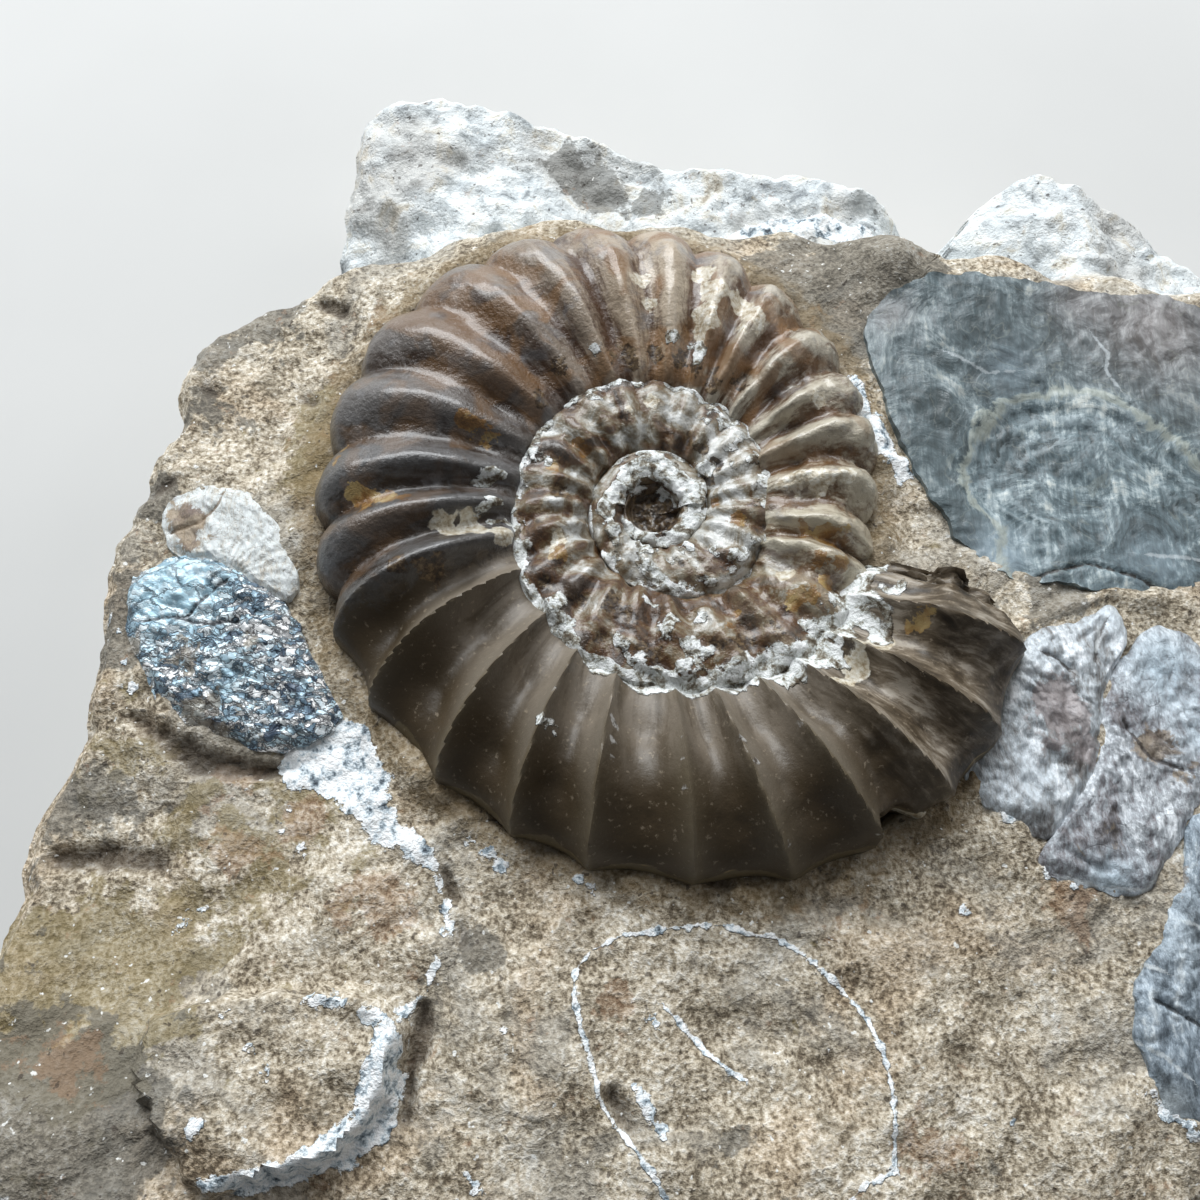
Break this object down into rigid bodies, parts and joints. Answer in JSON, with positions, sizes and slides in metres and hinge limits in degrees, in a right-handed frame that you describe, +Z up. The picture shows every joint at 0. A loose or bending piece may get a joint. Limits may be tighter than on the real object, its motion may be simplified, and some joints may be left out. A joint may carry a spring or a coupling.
{
  "type": "ammonite fossil in matrix",
  "caption": "Coiled, strongly ribbed ammonite standing half out of a loose slab of siltstone, with crushed shells set in the bedding around it.",
  "frame": {"origin": "on the slab's flat underside, below the middle of its plan; the base lies on z = 0", "axes": "+X to the right across the slab's longer side, +Y towards the low shelf at the back, +Z up out of the bedding surface that shows the ammonite"},
  "size_m": [0.083, 0.076, 0.0235],
  "materials": {
    "siltstone": "sandy siltstone, rough and speckled, with thin white calcite veins",
    "calcite_shell": "dark brown calcite, satin on the body chamber and glossy and part see-through on the inner whorls",
    "slate_shell": "slate-blue flattened shell with a pale crackle",
    "nacre": "shiny crumpled nacre, silver-blue with dark cracks",
    "chalky_shell": "cream, chalky, finely ribbed",
    "silver_shell": "crushed silvery grey shell",
    "grey_shell": "crushed violet-grey shell",
    "dark_shell": "dark slate-blue shell with a white chipped edge"
  },
  "bodies": {
    "root": {"matrix": "siltstone", "ammonite": "calcite_shell", "flattened_ammonite": "slate_shell", "nacre_shell": "nacre", "fan_shell": "chalky_shell", "silver_shell": "silver_shell", "grey_shell": "grey_shell", "corner_shell": "dark_shell"}
  },
  "joints": []
}
